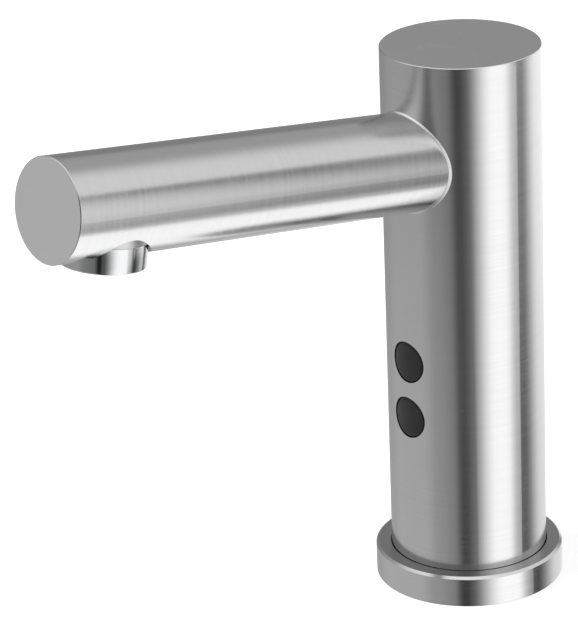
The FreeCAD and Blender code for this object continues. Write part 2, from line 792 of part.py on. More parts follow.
def bonnet():
    piece = Piece("bonnet", "valve")
    square_block(piece, "valve_top", "bonnet_top")
    piece.hole("annulus_outer", "valve_top", "valve_top + bonnet_room")
    piece.hole("plunger_bore", "valve_top", "bonnet_top")
    piece.hole("armature_flange / 2 + slip", "bonnet_top - armature_foot", "bonnet_top")
    screw_holes(piece, "valve_screw_shank / 2 + running", "valve_top", "bonnet_top")
    screw_holes(piece, "valve_screw_head / 2 + running", "bonnet_top - valve_screw_seat", "bonnet_top")


def valve_screws():
    piece = Piece("valve_screws", "valve_corners")
    seat = "bonnet_top - valve_screw_seat + seat_gap"
    shank, head = "valve_screw_shank / 2", "valve_screw_head / 2"
    top = f"{seat} + valve_screw_cap"
    screw = piece.turn([("0", "valve_screw_tip"), (shank, "valve_screw_tip"), (shank, seat),
                        (head, seat), (head, top), ("0", top)],
                       shift=("valve_screw_place * sqrt(2)", "0"))
    piece.around([screw], 4)


# Solenoid ----------------------------------------------------------------------------------------

def armature_tube():
    piece = Piece("armature_tube", "valve")
    foot = "bonnet_top - armature_foot + slip"
    piece.turn([("plunger_bore", foot), ("armature_flange / 2", foot),
                ("armature_flange / 2", "bonnet_top"), ("armature_radius", "bonnet_top"),
                ("armature_radius", "armature_top"), ("0", "armature_top"),
                ("0", "armature_top - armature_wall"),
                ("plunger_bore", "armature_top - armature_wall")])


def plunger():
    piece = Piece("plunger", "valve")
    outer = "plunger_od / 2"
    seal, well = "plunger_seal_od / 2", "plunger_well_bore / 2"
    seat = "plunger_low + plunger_seal_thickness"
    piece.turn([("0", seat), (seal, seat), (seal, "plunger_low"), (outer, "plunger_low"),
                (outer, "plunger_high"), (well, "plunger_high"), (well, "plunger_well"),
                ("0", "plunger_well")])


def plunger_seal():
    piece = Piece("plunger_seal", "valve")
    piece.disc("plunger_seal_od / 2 - slip", "plunger_low",
               "plunger_low + plunger_seal_thickness - slip")


def plunger_spring():
    piece = Piece("plunger_spring", "valve")
    piece.coil("plunger_coil", "plunger_wire / 2", "plunger_well + seat_gap", "core_low - seat_gap",
               "plunger_turns")


def fixed_core():
    Piece("fixed_core", "valve").disc("plunger_bore - slip", "core_low", "core_high")


def coil_bobbin():
    piece = Piece("coil_bobbin", "valve")
    inner = "armature_radius + 2 * slip"
    neck = "armature_radius + 2 * slip + coil_neck"
    piece.turn([(inner, "coil_low"), ("coil_od / 2", "coil_low"),
                ("coil_od / 2", "coil_low + coil_cheek"), (neck, "coil_low + coil_cheek"),
                (neck, "coil_high - coil_cheek"), ("coil_od / 2", "coil_high - coil_cheek"),
                ("coil_od / 2", "coil_high"), (inner, "coil_high")])


def coil_winding():
    piece = Piece("coil_winding", "valve")
    piece.disc("coil_od / 2 - coil_inset", "coil_low + coil_cheek + slip",
               "coil_high - coil_cheek - slip", inner="armature_radius + coil_neck + 3 * slip")


def yoke():
    piece = Piece("yoke", "valve")
    inside = "yoke_half - yoke_plate"
    depth = ("-yoke_depth / 2", "yoke_depth / 2")
    piece.block(("-yoke_half", "yoke_half"), ("yoke_low", "yoke_high"), *depth, "XZ")
    piece.slot((f"-({inside})", inside), ("yoke_low + yoke_plate", "yoke_high - yoke_plate"),
               *depth, "XZ")
    piece.hole("armature_radius + 2 * slip", "yoke_low", "yoke_high")


def coil_nut():
    piece = Piece("coil_nut", "valve")
    high = "nut_low + coil_nut_height"
    piece.hexagon("Pad", "coil_nut", "nut_low", high)
    piece.hole("armature_radius + slip", "nut_low", high)


# Water tube and leads ----------------------------------------------------------------------------

def place(x, y, z):
    return Vector(value(x), value(y), value(z))


def on_spout(along, above):
    """A point of the spout's own frame, in the tap's frame."""
    back = f"-({along}) * cos(spout_rise) + ({above}) * sin(spout_rise)"
    up = f"spout_height + ({along}) * sin(spout_rise) + ({above}) * cos(spout_rise)"
    return place("0", back, up)


def bent_path(points, bend):
    """Straight runs joined by tangent arcs of one radius."""
    edges = []
    start = points[0]
    for before, corner, after in zip(points, points[1:], points[2:]):
        into = (corner - before).normalize()
        out = (after - corner).normalize()
        angle = into.getAngle(out)
        reach = bend * math.tan(angle / 2)
        first = corner - into * reach
        last = corner + out * reach
        inwards = (out - into).normalize()
        middle = corner + inwards * (bend / math.cos(angle / 2) - bend)
        edges.append(Part.LineSegment(start, first).toShape())
        edges.append(Part.Arc(first, middle, last).toShape())
        start = last
    edges.append(Part.LineSegment(start, points[-1]).toShape())
    return Part.Wire(edges)


def swept(path, radius):
    start = path.Edges[0]
    heading = start.tangentAt(start.FirstParameter)
    section = Part.Circle(start.valueAt(start.FirstParameter), heading, radius)
    return path.makePipeShell([Part.Wire(section.toShape())], True, False)


def bent_piece(label, shape):
    item = doc.addObject("Part::Feature", label)
    item.Shape = shape
    register(label, item)


def water_tube():
    """From the valve up the body, over two bends and along the spout into the outlet bush."""
    corners = [place("riser_x", "riser_y", "riser_low"),
               place("riser_x", "riser_y", "spout_height - 11"),
               on_spout("8", "feed_rise"), on_spout("outlet_reach - 3", "feed_rise")]
    path = bent_path(corners, value("riser_bend"))
    outer = swept(path, value("riser_radius"))
    bent_piece("water_tube", outer.cut(swept(path, value("riser_radius - riser_wall"))))


def solenoid_lead():
    """The coil's lead, from the bobbin's cheek over the top of the sensor housing and into it."""
    height = "sensor_high + 10"
    coil_side = "valve_y - coil_od / 2 + 2.4"
    sensor_side = f"{coil_side} - 2 * lead_bend - 2"
    corners = [place("valve_x", coil_side, "coil_high + seat_gap"),
               place("valve_x", coil_side, height), place("valve_x", sensor_side, height),
               place("valve_x", sensor_side, "sensor_high + seat_gap")]
    bent_piece("solenoid_lead", swept(bent_path(corners, value("lead_bend")), value("lead_od / 2")))


# Outlet ------------------------------------------------------------------------------------------

def outlet_bush():
    """The brass bush in the spout: the aerator screws in from below, the water tube from behind."""
    piece = Piece("outlet_bush", "outlet")
    thread = "aerator_thread / 2 + slip"
    shoulder = "-2"
    piece.turn([(thread, "bush_low"), ("bush_od / 2", "bush_low"), ("bush_od / 2", shoulder),
                ("bush_neck / 2", shoulder), ("bush_neck / 2", "bush_top"), ("0", "bush_top"),
                ("0", "feed_rise"), ("riser_radius - riser_wall", "feed_rise"),
                ("riser_radius - riser_wall", "-bush_seat + 0.9"), ("8", "-bush_seat + 0.9"),
                ("8", "-bush_seat"), (thread, "-bush_seat")])
    piece.hole("riser_radius + slip", "0", "bush_neck", ("0", "feed_rise"), "XZ")


def aerator_housing():
    piece = Piece("aerator_housing", "outlet")
    outer = "aerator_od / 2"
    mouth = "aerator_mouth / 2"
    piece.turn([(mouth, "-aerator_drop"), (f"{outer} - 0.5", "-aerator_drop"),
                (outer, "-aerator_drop + 0.5"), (outer, "collar_top - 0.4"),
                (f"{outer} - 0.4", "collar_top"), ("thread_radius", "collar_top"),
                ("thread_radius", "housing_top"), ("housing_bore", "housing_top"),
                ("housing_bore", "lip_top"), (mouth, "lip_top")])


def aerator_insert():
    """The jet cartridge: a cup with a drilled plate that mixes air into the water."""
    piece = Piece("aerator_insert", "outlet")
    plate = "housing_top - jet_plate"
    lip = "jet_bore - 0.6"
    piece.turn([(lip, "jet_low"), ("insert_radius", "jet_low"), ("insert_radius", "housing_top"),
                ("jet_bore", "housing_top"), ("jet_bore", plate), ("0", plate),
                ("0", f"{plate} - jet_plate"), ("jet_bore", f"{plate} - jet_plate"),
                ("jet_bore", "jet_lip"),
                (lip, "jet_lip")])
    for ring, count in (("jet_ring", 6), ("2 * jet_ring", 12)):
        jet = piece.hexagon("Pocket", "jet_hole", f"{plate} - jet_plate", plate, (ring, "0"))
        piece.around([jet], count)


def aerator_screen():
    piece = Piece("aerator_screen", "outlet")
    piece.disc("jet_bore - slip", "screen_low", "screen_high")
    piece.hexagon("Pocket", "screen_cell", "screen_low", "screen_high")
    for ring, count in ((1, 6), (2, 12), (3, 18)):
        cell = piece.hexagon("Pocket", "screen_cell", "screen_low", "screen_high",
                             (f"{ring} * screen_pitch", "0"))
        piece.around([cell], count)


def aerator_washer():
    piece = Piece("aerator_washer", "outlet")
    piece.disc("thread_radius - 0.3", "washer_low", "washer_high", inner="jet_bore - 1")


# Sensor ------------------------------------------------------------------------------------------

def trim(piece, outer, eye, inner=None):
    """Cuts a window or gasket back to a curve round the body's axis."""
    reach = "eye_flange"
    piece.hole(outer, f"{eye} - {reach}", f"{eye} + {reach}", plane="XZ", inner=inner)


def eye_window(label, eye):
    """A dark window that follows the body's curve, with a flange behind the body's wall."""
    piece = Piece(label, "sensor")
    centre = ("0", eye)
    piece.disc("eye_flange / 2", "eye_back - 3", "body_radius", centre)
    trim(piece, "body_od", eye, inner="eye_seat")
    trim(piece, "eye_back", eye)
    piece.disc("eye_radius", "eye_back + 0.25", "body_radius + 1", centre)
    trim(piece, "body_od", eye, inner="eye_face")


def eye_gasket(label, eye):
    piece = Piece(label, "sensor")
    piece.disc("eye_flange / 2", "eye_seat - 3", "body_radius", ("0", eye),
               inner="eye_radius + 2 * slip")
    trim(piece, "body_od", eye, inner="bore_radius - slip")
    trim(piece, "eye_seat + slip", eye)


def corner_screws():
    """The places of the four screws that close the sensor housing."""
    for side in ("board_screw_x", "-board_screw_x"):
        for height in ("board_screw_low", "board_screw_high"):
            yield side, height


def sensor_housing():
    """Moulded housing: light tunnels to the windows, a recess for the board and two lugs."""
    piece = Piece("sensor_housing")
    half = "sensor_width / 2"
    piece.block(("-" + half, half), ("-body_radius", "-sensor_back"), "sensor_low", "sensor_high")
    piece.hole("body_od", "sensor_low", "sensor_high", inner="sensor_front")
    piece.block(("-lug_width / 2", "lug_width / 2"), ("-lug_place - lug_thickness", "-lug_place"),
                "lug_low", "lug_high")
    for eye in ("eye_upper", "eye_lower"):
        piece.hole("tunnel_bore / 2", "-body_radius", "-sensor_back", ("0", eye), "XZ")
    piece.slot((f"sensor_rim - {half}", f"{half} - sensor_rim"), ("-board_front", "-sensor_back"),
               "sensor_low + sensor_rim", "sensor_high - sensor_rim")
    for stud in ("stud_low", "stud_high"):
        piece.hole("sensor_stud / 2 + running", "-body_radius", "-sensor_back", ("0", stud), "XZ")
    for corner in corner_screws():
        piece.hole("board_screw / 2 + slip", "-board_front - board_screw_grip - slip",
                   "-board_front", corner, "XZ")


def circuit_board():
    piece = Piece("circuit_board")
    edge = "(sensor_rim + 2 * slip)"
    half = f"sensor_width / 2 - {edge}"
    piece.block((f"-({half})", half), ("-board_front + seat_gap", "-sensor_back - seat_gap"),
                f"sensor_low + {edge}", f"sensor_high - {edge}")
    for corner in corner_screws():
        piece.hole("board_screw / 2 + running", "-board_front", "-sensor_back", corner, "XZ")


def sensor_cover():
    piece = Piece("sensor_cover")
    half = "sensor_width / 2"
    piece.block(("-" + half, half), ("-cover_front", "-cover_back"), "sensor_low", "sensor_high")
    for corner in corner_screws():
        piece.hole("board_screw / 2 + running", "-cover_front", "-cover_back", corner, "XZ")


def cover_screws():
    piece = Piece("cover_screws", "sensor")
    shank = "board_screw / 2"
    head = "board_screw_head / 2"
    seat = "cover_back - seat_gap"
    top = f"{seat} - board_screw_cap"
    tip = "board_front + board_screw_grip"
    for side, height in corner_screws():
        piece.turn([("0", top), (head, top), (head, seat), (shank, seat), (shank, tip), ("0", tip)],
                   shift=(side, "0"), level=f"-({height})")


def infrared_diode(label, eye):
    """A round diode on the board, with its domed end towards the window."""
    piece = Piece(label, "sensor")
    foot = "board_front"
    tip = f"{foot} + diode_length"
    radius = "diode_od / 2"
    rim = f"{radius} + diode_rim"
    piece.turn([("0", foot), (rim, foot), (rim, f"{foot} + 1"), (radius, f"{foot} + 1"),
                (radius, f"{tip} - diode_dome"), (f"{radius} * 0.6", f"{tip} - diode_dome / 4"),
                ("0", tip)], level=f"-({eye})")


def sensor_studs():
    """Studs welded inside the tube, with a shoulder that the housing's lugs stand on."""
    piece = Piece("sensor_studs", "sensor")
    shank = "sensor_stud / 2"
    seat = "lug_place + lug_thickness + seat_gap"
    wall = "bore_radius - 3 * slip"
    end = "lug_place - sensor_stud_end"
    for stud in ("stud_low", "stud_high"):
        piece.turn([("0", end), (shank, end), (shank, seat), (f"{shank} + 1", seat),
                    (f"{shank} + 1", wall), ("0", wall)], level=f"-({stud})")


def sensor_nuts():
    piece = Piece("sensor_nuts", "sensor")
    high = "lug_place - seat_gap"
    low = f"{high} - sensor_nut_height"
    for stud in ("stud_low", "stud_high"):
        piece.hexagon("Pad", "sensor_nut", low, high, ("0", stud))
        piece.hole("sensor_stud / 2 + slip", low, high, ("0", stud))


def build():
    body_tube()
    top_cap()
    spout_end_cap()
    body_envelope = envelope("body_envelope", "body_radius", "tap_height", "tap")
    spout_tube(body_envelope)
    weld_bead(body_envelope)
    flange_ring()
    flange_oring()
    base_plug()
    plug_oring()
    foot_gasket()
    body_screws()
    cable_grommet()
    inlet_strainer()
    check_valve_body()
    check_poppet()
    check_spring()
    inlet_seal()
    valve_body()
    diaphragm()
    diaphragm_insert()
    bonnet()
    valve_screws()
    armature_tube()
    plunger()
    plunger_seal()
    plunger_spring()
    fixed_core()
    coil_bobbin()
    coil_winding()
    yoke()
    coil_nut()
    water_tube()
    solenoid_lead()
    outlet_bush()
    aerator_housing()
    aerator_insert()
    aerator_screen()
    aerator_washer()
    eye_window("upper_window", "eye_upper")
    eye_window("lower_window", "eye_lower")
    eye_gasket("upper_gasket", "eye_upper")
    eye_gasket("lower_gasket", "eye_lower")
    sensor_housing()
    circuit_board()
    sensor_cover()
    cover_screws()
    infrared_diode("ir_emitter", "eye_upper")
    infrared_diode("ir_receiver", "eye_lower")
    sensor_studs()
    sensor_nuts()


def check_model():
    """Every object rebuilt without a fault, and every sub-part a valid shape."""
    for item in doc.Objects:
        if "Invalid" in item.State or "Error" in item.State:
            raise ValueError(item.Label + " failed to rebuild")
    for label, item in subparts.items():
        if item.Shape.isNull() or not item.Shape.isValid() or not item.Shape.Solids:
            raise ValueError(label + " has no valid shape")


def write_parts():
    os.makedirs("parts", exist_ok=True)
    for label, item in subparts.items():
        item.Shape.exportStep(os.path.join("parts", label + ".step"))


fill_sheet()
build()
doc.recompute()
check_model()
write_parts()
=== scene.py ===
"""The looks of a sensor tap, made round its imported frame.

The solids keep their shapes and get their finishes here. What they hold plain is made anew: the
weld's ripple, the windows' rolled edge, the thread, the springs, screws, coil and woven screen.
Those shapes are worked out in millimetres and become metres in their meshes.
"""
import json
import math

import bpy
import numpy as np
from mathutils import Euler, Matrix, Vector


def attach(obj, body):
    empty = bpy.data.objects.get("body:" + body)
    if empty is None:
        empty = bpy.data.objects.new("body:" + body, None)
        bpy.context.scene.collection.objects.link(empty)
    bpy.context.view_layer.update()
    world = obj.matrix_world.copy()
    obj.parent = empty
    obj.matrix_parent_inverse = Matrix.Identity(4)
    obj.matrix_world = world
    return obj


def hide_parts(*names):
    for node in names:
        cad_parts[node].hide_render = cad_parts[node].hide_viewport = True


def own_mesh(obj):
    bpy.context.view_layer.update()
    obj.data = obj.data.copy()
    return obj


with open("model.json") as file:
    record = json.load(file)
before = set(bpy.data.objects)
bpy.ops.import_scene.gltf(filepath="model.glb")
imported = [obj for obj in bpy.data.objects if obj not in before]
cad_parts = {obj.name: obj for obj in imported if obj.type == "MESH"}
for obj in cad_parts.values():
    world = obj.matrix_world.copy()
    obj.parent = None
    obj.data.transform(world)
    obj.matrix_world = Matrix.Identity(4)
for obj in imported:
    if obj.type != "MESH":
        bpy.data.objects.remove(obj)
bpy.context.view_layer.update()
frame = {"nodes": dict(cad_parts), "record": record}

# Places that the solids share, in millimetres --------------------------------------------------

MILLIMETRE = 0.001
BODY_RADIUS = 25.4
SPOUT_RADIUS = 15.9
SPOUT_HEIGHT = 143.7
SPOUT_RISE = math.radians(8.6)
OUTLET_REACH = 141.4
UPPER_WINDOW_HEIGHT = 80.2
LOWER_WINDOW_HEIGHT = 61.1
VALVE_PLACE = (-3.9833, 4.9792)
INLET_PLACE = (-3.9833, 12.9458)

# The camera, where the edges in the photograph put it, in metres and degrees -------------------

EYE = Vector((0.774018, -0.708806, 0.518065))
EYE_TURN = (67.83483, 2.05435, 49.76511)
LENS = 201.46
VIEW_BEARING = math.degrees(math.atan2(EYE.y, EYE.x))


# Node sheets -----------------------------------------------------------------------------------

class Value:
    """An output of a node. Sums and products of it add the Math nodes they need."""

    def __init__(self, sheet, socket):
        self.sheet = sheet
        self.socket = socket

    def __add__(self, other):
        return self.sheet.maths("ADD", self, other)

    def __radd__(self, other):
        return self.sheet.maths("ADD", other, self)

    def __sub__(self, other):
        return self.sheet.maths("SUBTRACT", self, other)

    def __rsub__(self, other):
        return self.sheet.maths("SUBTRACT", other, self)

    def __mul__(self, other):
        return self.sheet.maths("MULTIPLY", self, other)

    def __rmul__(self, other):
        return self.sheet.maths("MULTIPLY", other, self)


class Sheet:
    """The node tree of a finish or of the world."""

    def __init__(self, tree):
        self.tree = tree
        self.tree.nodes.clear()

    def node(self, kind, settings=None, sockets=None, output=0):
        """Adds one node: its settings first, then a number, colour or link for each socket."""
        made = self.tree.nodes.new(kind)
        for name, setting in (settings or {}).items():
            setattr(made, name, setting)
        for name, content in (sockets or {}).items():
            if isinstance(content, Value):
                self.tree.links.new(content.socket, made.inputs[name])
            else:
                made.inputs[name].default_value = content
        return Value(self, made.outputs[output]) if made.outputs else None

    def maths(self, operation, first, second=0.0):
        return self.node("ShaderNodeMath", {"operation": operation}, {0: first, 1: second})

    def vectors(self, operation, first, second, output=0):
        return self.node("ShaderNodeVectorMath", {"operation": operation},
                         {0: first, 1: second}, output)

    def ease(self, source, low, high, start=0.0, end=1.0):
        """Goes smoothly from start, where source is low, to end, where it is high."""
        return self.node("ShaderNodeMapRange", {"interpolation_type": "SMOOTHSTEP"},
                         {"Value": source, "From Min": low, "From Max": high,
                          "To Min": start, "To Max": end})

    def window(self, source, low, high, soft):
        """One between low and high, and nought outside, with soft edges."""
        rising = self.ease(source, low - soft, low + soft)
        falling = self.ease(source, high - soft, high + soft, 1.0, 0.0)
        return rising * falling

    def blend(self, factor, first, second):
        """A colour between first and second."""
        return self.node("ShaderNodeMix", {"data_type": "RGBA"},
                         {0: factor, 6: first, 7: second}, 2)

    def placed(self, turn=(0, 0, 0), stretch=(1, 1, 1)):
        """Object coordinates, turned and then stretched."""
        place = self.node("ShaderNodeTexCoord", output=3)
        turned = self.node("ShaderNodeMapping", {"vector_type": "TEXTURE"},
                           {"Vector": place, "Rotation": turn})
        return self.node("ShaderNodeMapping", {}, {"Vector": turned, "Scale": stretch})

    def noise(self, where, scale=1.0, detail=2.0):
        return self.node("ShaderNodeTexNoise", {},
                         {"Vector": where, "Scale": scale, "Detail": detail})


def tone(level):
    """A neutral colour."""
    return (level, level, level, 1)


class Finish(Sheet):
    """A material with one Principled shader."""

    def __init__(self, name):
        self.material = bpy.data.materials.new(name)
        self.material.use_nodes = True
        super().__init__(self.material.node_tree)

    def shade(self, **sockets):
        """Closes the sheet. A socket's name is written with _ for its spaces."""
        named = {name.replace("_", " "): content for name, content in sockets.items()}
        shader = self.node("ShaderNodeBsdfPrincipled", {}, named)
        self.node("ShaderNodeOutputMaterial", {}, {"Surface": shader})
        return self.material

    def normal(self):
        return self.node("ShaderNodeNewGeometry", output=1)

    def tilt(self, axis, amount):
        """The surface normal, tipped along axis by a small varying amount."""
        lean = self.node("ShaderNodeVectorMath", {"operation": "SCALE"},
                         {0: axis, "Scale": amount})
        return self.vectors("ADD", self.normal(), lean)

    def bump(self, height, distance):
        return self.node("ShaderNodeBump", {}, {"Height": height, "Distance": distance})


# Finishes --------------------------------------------------------------------------------------

def brushed_steel(name, turn=(0, 0, 0), axis=(0, 0, 1), level=0.68, rough=0.2, lean=0.012,
                  painted_face_level=None):
    """Steel brushed round its axis: fine lines run round it, with short deeper dashes among
    them. A face square to the axis is ground dull instead, with fine grit, and its tone there is
    painted light and shade, set for each part to how bright that face looks as lit."""
    finish = Finish(name)
    lines = finish.noise(finish.placed(turn=turn, stretch=(26, 26, 2600)), detail=3)
    dashes = finish.noise(finish.placed(turn=turn, stretch=(190, 190, 5200)), detail=1)
    dashes = finish.ease(dashes, 0.62, 0.78)
    cloud = finish.noise(finish.placed(turn=turn, stretch=(16, 16, 30)), detail=2)
    shift = (lines - 0.5) * 0.34 + (cloud - 0.5) * 0.16 + dashes * 0.12
    colour = finish.blend(shift + 0.5, tone(level * 0.82), tone(level * 1.18))
    roughness = (lines - 0.5) * 0.05 + (cloud - 0.5) * 0.05 + dashes * 0.06 + rough
    if painted_face_level is not None:
        square = finish.vectors("DOT_PRODUCT", finish.normal(), axis, 1)
        square = finish.ease(square, 0.8, 0.97)
        grit = finish.noise(finish.placed(), scale=2600, detail=2)
        ground = (cloud - 0.5) * 0.25 + (grit - 0.5) * 0.25 + 0.5
        # Painted light and shade: the face's tone is set for each part to how bright it looks as
        # lit, with real grit and cloud round it.
        ground = finish.blend(ground, tone(painted_face_level * 0.84), tone(painted_face_level * 1.16))
        colour = finish.blend(square, colour, ground)
        roughness = roughness + square * 0.14
    return finish.shade(Base_Color=colour, Metallic=1.0, Roughness=roughness,
                        Normal=finish.tilt(axis, (lines - 0.5) * lean * 2 + dashes * lean))


def polished_chrome(name):
    """Bright plating, with faint polishing marks and a little haze."""
    finish = Finish(name)
    haze = finish.noise(finish.placed(), scale=90, detail=3)
    marks = finish.noise(finish.placed(stretch=(60, 60, 2400)), detail=2)
    colour = finish.blend(haze, (0.61, 0.62, 0.63, 1), (0.7, 0.7, 0.7, 1))
    return finish.shade(Base_Color=colour, Metallic=1.0,
                        Roughness=haze * 0.05 + marks * 0.03 + 0.03)


def turned_metal(name, colour, deep, rough=0.28, pitch=2600):
    """Turned metal: level tool marks, and a dull film that gathers in patches."""
    finish = Finish(name)
    marks = finish.noise(finish.placed(stretch=(40, 40, pitch)), detail=2)
    film = finish.noise(finish.placed(), scale=130, detail=4)
    return finish.shade(Base_Color=finish.blend(film * 0.6 + marks * 0.4, colour, deep),
                        Metallic=1.0, Roughness=film * 0.2 + marks * 0.08 + rough - 0.1,
                        Normal=finish.bump(marks, 0.00001))


def moulded(name, colour, deep, rough=0.45, grain=1800, coat=0.0):
    """Moulded plastic or rubber: a fine spark grain and faint flow marks."""
    finish = Finish(name)
    spark = finish.noise(finish.placed(), scale=grain, detail=2)
    flow = finish.noise(finish.placed(stretch=(1, 1, 2.5)), scale=60, detail=3)
    return finish.shade(Base_Color=finish.blend(flow, colour, deep), Coat_Weight=coat,
                        Roughness=(spark - 0.5) * 0.12 + (flow - 0.5) * 0.1 + rough,
                        Normal=finish.bump(spark, 0.00002))


def dark_window(name):
    """Smoked acrylic that only infrared light passes: deep black, polished, faintly swirled."""
    finish = Finish(name)
    swirl = finish.noise(finish.placed(), scale=140, detail=3)
    colour = finish.blend(swirl, (0.002, 0.002, 0.002, 1), (0.005, 0.004, 0.005, 1))
    return finish.shade(Base_Color=colour, Roughness=swirl * 0.05 + 0.05, IOR=1.52)


AROUND_SPOUT = {"turn": (math.pi / 2 - SPOUT_RISE, 0, 0), "lean": 0.005,
                "axis": (0, -math.cos(SPOUT_RISE), math.sin(SPOUT_RISE))}
FINISHES = {
    "body_steel": brushed_steel("body_steel"),
    "spout_steel": brushed_steel("spout_steel", **AROUND_SPOUT),
    # The ground faces get painted light and shade: the flange's top painted dark, the top cap
    # mid, the spout's end cap near white.
    "flange_steel": brushed_steel("flange_steel", rough=0.16, painted_face_level=0.42),
    "cap_steel": brushed_steel("cap_steel", painted_face_level=0.7),
    "end_steel": brushed_steel("end_steel", painted_face_level=0.98, **AROUND_SPOUT),
    "weld_steel": brushed_steel("weld_steel", level=0.78, rough=0.24, lean=0.03),
    "inner_steel": turned_metal("inner_steel", tone(0.52), tone(0.6)),
    "screw_steel": turned_metal("screw_steel", tone(0.42), tone(0.55), 0.3, 6000),
    "spring_steel": turned_metal("spring_steel", (0.46, 0.46, 0.48, 1), tone(0.6), 0.26, 3000),
    "chrome": polished_chrome("chrome"),
    "brass": turned_metal("brass", (0.72, 0.5, 0.22, 1), (0.6, 0.4, 0.18, 1)),
    "copper": turned_metal("copper", (0.75, 0.33, 0.17, 1), (0.6, 0.24, 0.12, 1), 0.25, 5200),
    "window": dark_window("window"),
    "black_plastic": moulded("black_plastic", tone(0.018), tone(0.03)),
    "white_plastic": moulded("white_plastic", (0.72, 0.72, 0.69, 1), (0.8, 0.8, 0.77, 1), 0.4),
    "rubber": moulded("rubber", tone(0.02), tone(0.035), 0.62, 2600),
    "board": moulded("board", (0.01, 0.12, 0.05, 1), (0.015, 0.17, 0.07, 1), 0.35, 900, 0.3),
}

FINISH_OF_NODE = {
    "body_tube": "body_steel", "top_cap": "cap_steel", "flange_ring": "flange_steel",
    "spout_tube": "spout_steel", "spout_end_cap": "end_steel", "outlet_bush": "inner_steel",
}
FINISH_OF_SLOT = {"brushed_steel": "inner_steel"}


def dress_nodes():
    """Each CAD node gets its own finish where it has one, or else the finish of its slot. The
    steel that is held inside has the slot of brushed steel too, but is only turned."""
    for part in frame["record"]["subparts"]:
        name, slot_name = part["node"], part["material_slot"]
        finish = FINISH_OF_NODE.get(name, FINISH_OF_SLOT.get(slot_name, slot_name))
        materials = frame["nodes"][name].data.materials
        materials.clear()
        materials.append(FINISHES[finish])


# Grids -----------------------------------------------------------------------------------------
# A grid is a closed shell in millimetres, of the shape (rings, points round a ring, 3).

def turned_frame(angle):
    """Axes X, Y and Z, as rows, turned by angle about X."""
    return np.array([[1, 0, 0], [0, math.cos(angle), math.sin(angle)],
                     [0, -math.sin(angle), math.cos(angle)]])


ON_SPOUT = (turned_frame(math.pi / 2 - SPOUT_RISE), (0, 0, SPOUT_HEIGHT))
AT_OUTLET = (turned_frame(-SPOUT_RISE),
             (0, -OUTLET_REACH * math.cos(SPOUT_RISE),
              SPOUT_HEIGHT + OUTLET_REACH * math.sin(SPOUT_RISE)))
AT_SENSOR = (turned_frame(math.pi / 2), (0, 0, 0))


def placed_in(frame_of, grid):
    """The grid, moved from the frame's own axes and origin to the tap's."""
    axes, origin = frame_of
    return grid @ axes + np.array(origin)


def angles(count):
    return np.arange(count) * (2 * math.pi / count)


def round_grid(radii, heights, count, centre=(0, 0)):
    """Rings about Z: at angle a, a point lies at radius (cos a, sin a) and at its height. A ring
    has one radius, or one for each point."""
    around = angles(count)
    radii = np.broadcast_to(np.asarray(radii, float).reshape(len(heights), -1),
                            (len(heights), count))
    heights = np.broadcast_to(np.asarray(heights, float)[:, None], radii.shape)
    return np.stack([radii * np.cos(around) + centre[0], radii * np.sin(around) + centre[1],
                     heights], axis=-1)


def wire_grid(path, inward, radius, count):
    """A tube of that radius: circles square to the path, whose first point leans inward."""
    along = np.gradient(path, axis=0)
    along /= np.linalg.norm(along, axis=1, keepdims=True)
    side = np.cross(along, inward)
    side /= np.linalg.norm(side, axis=1, keepdims=True)
    inward = np.cross(side, along)
    around = angles(count)[None, :, None]
    return path[:, None] + radius * (np.cos(around) * inward[:, None]
                                     + np.sin(around) * side[:, None])


def ring_faces(rings, count, looped):
    """Quads from each ring to the next. Open ends get a fan to a point in their middle."""
    here = np.arange(count)
    after = (here + 1) % count
    first = np.arange(rings if looped else rings - 1)[:, None]
    second = (first + 1) % rings * count
    first = first * count
    quads = np.stack([first + here, first + after, second + after, second + here], axis=-1)
    quads = quads.reshape(-1, 4).tolist()
    if looped:
        return quads
    middle = rings * count
    last = middle - count
    fans = [np.stack([np.full(count, middle), after, here], axis=-1),
            np.stack([np.full(count, middle + 1), last + here, last + after], axis=-1)]
    return quads + np.concatenate(fans).tolist()


def enclosed(grid):
    """Six times the volume inside a grid's quads, less than nought where they face inwards."""
    near, far = grid, np.roll(grid, -1, axis=0)
    pairs = [(near, np.roll(near, -1, axis=1), np.roll(far, -1, axis=1)),
             (near, np.roll(far, -1, axis=1), far)]
    return sum(np.einsum("ijk,ijk->", one, np.cross(two, three)) for one, two, three in pairs)


def add_piece(name, shells, finish, body, stands_for=(), looped=False, crease=34):
    """One object from closed shells, each a grid. looped joins the last ring to the first.
    Edges that turn by more than crease degrees stay sharp."""
    points, faces = [], []
    start = 0
    for grid in shells:
        if enclosed(grid - grid.mean(axis=(0, 1))) < 0:
            grid = grid[:, ::-1]
        rings, count = grid.shape[:2]
        shell = grid.reshape(-1, 3)
        if not looped:
            shell = np.concatenate([shell, [grid[0].mean(axis=0), grid[-1].mean(axis=0)]])
        faces += [[start + corner for corner in face]
                  for face in ring_faces(rings, count, looped)]
        points.append(shell)
        start += len(shell)
    mesh = bpy.data.meshes.new(name)
    mesh.from_pydata((np.concatenate(points) * MILLIMETRE).tolist(), [], faces)
    mesh.polygons.foreach_set("use_smooth", np.ones(len(mesh.polygons), bool))
    mesh.set_sharp_from_angle(angle=math.radians(crease))
    mesh.materials.append(FINISHES[finish])
    piece = bpy.data.objects.new(name, mesh)
    bpy.context.scene.collection.objects.link(piece)
    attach(piece, body)
    if stands_for:
        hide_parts(*stands_for)
    return piece


# New pieces ------------------------------------------------------------------------------------

